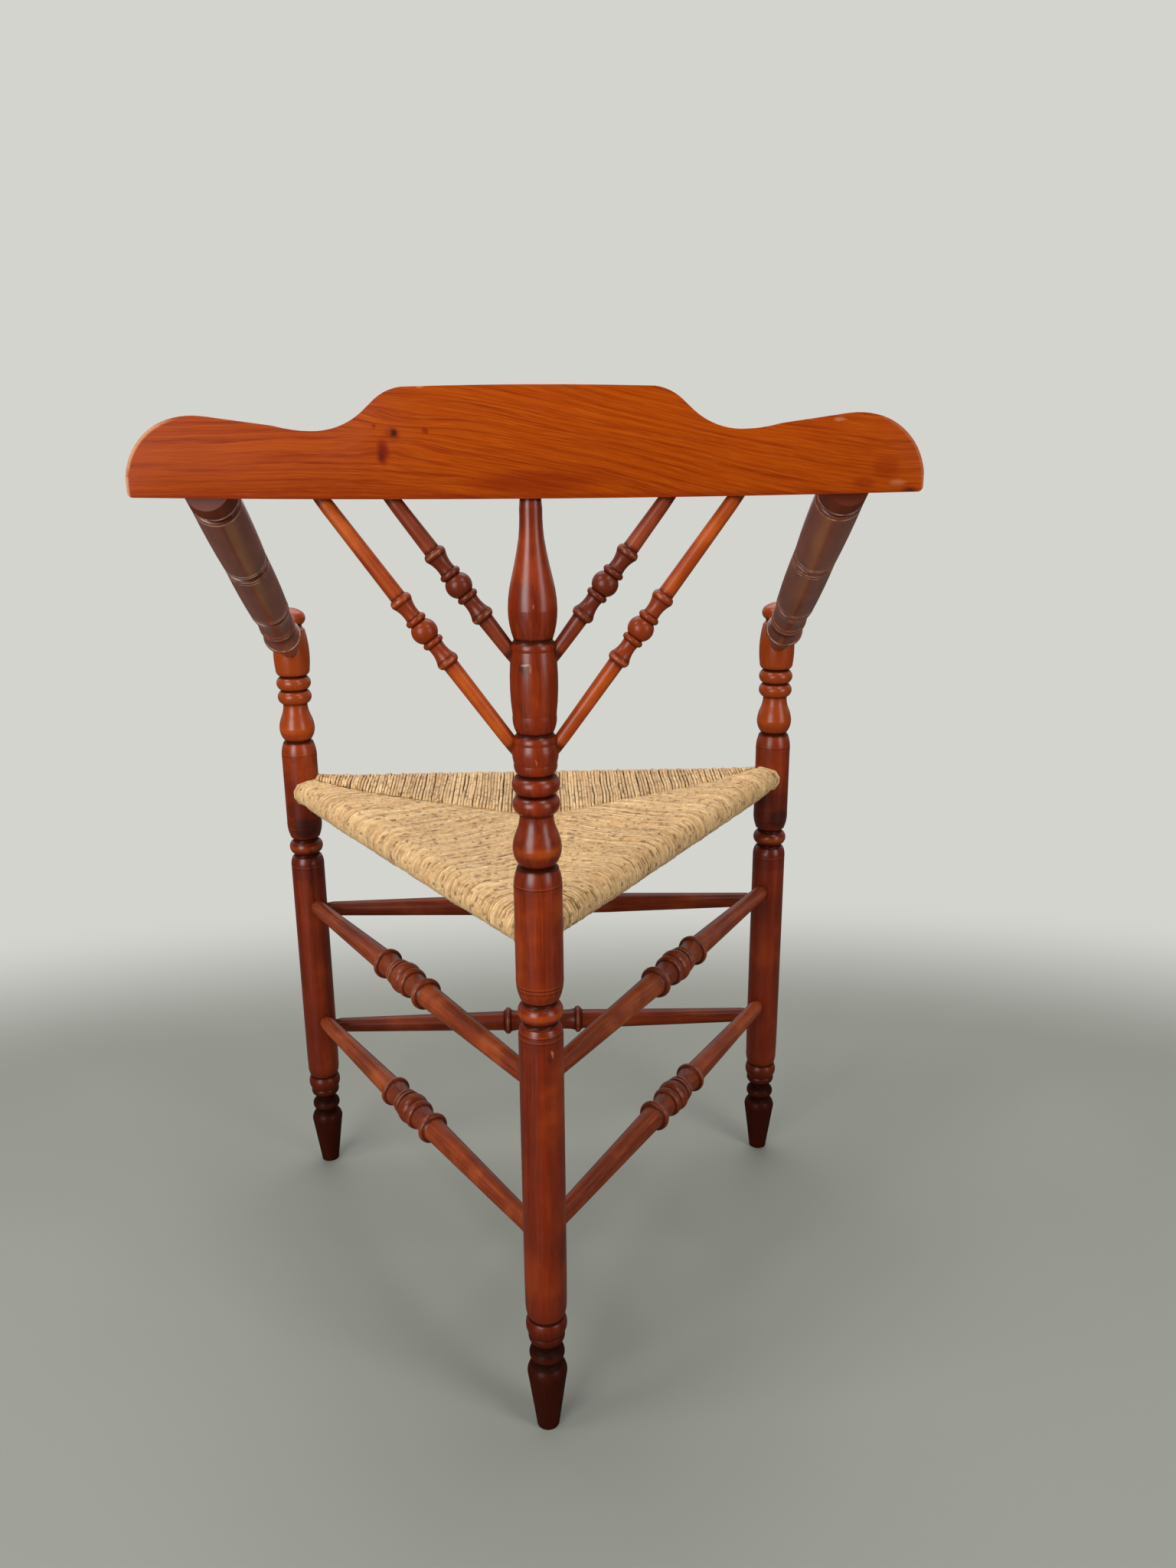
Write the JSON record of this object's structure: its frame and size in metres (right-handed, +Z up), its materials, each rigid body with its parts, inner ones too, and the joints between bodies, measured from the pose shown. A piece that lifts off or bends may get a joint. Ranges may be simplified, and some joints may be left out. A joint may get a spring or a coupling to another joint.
{
  "type": "corner chair",
  "caption": "Three-legged wooden corner chair with turned posts, rungs and arms, a shaped crest board and a triangular rush seat.",
  "frame": {"origin": "on the floor, midway between the line of the two front posts and the rear post", "axes": "+Z up, -Y towards the sitter's front, +X towards the sitter's left; the single rear post and the crest board are at +Y"},
  "size_m": [0.5148, 0.4116, 0.795],
  "materials": {
    "posts": "gloss",
    "crest": "satin",
    "arms": "gloss",
    "spindles": "satin",
    "rungs": "satin",
    "rails": "matte",
    "rush": "matte"
  },
  "bodies": {
    "root": {"arm_left": "arms", "arm_right": "arms", "back_spindle_inner_left": "spindles", "back_spindle_inner_right": "spindles", "back_spindle_outer_left": "spindles", "back_spindle_outer_right": "spindles", "crest_rail": "crest", "front_post_left": "posts", "front_post_right": "posts", "front_rung_lower": "rungs", "front_rung_upper": "rungs", "rear_post": "posts", "rush_seat": "rush", "seat_rail_front": "rails", "seat_rail_left": "rails", "seat_rail_right": "rails", "side_rung_lower_left": "rungs", "side_rung_lower_right": "rungs", "side_rung_upper_left": "rungs", "side_rung_upper_right": "rungs"}
  },
  "joints": []
}
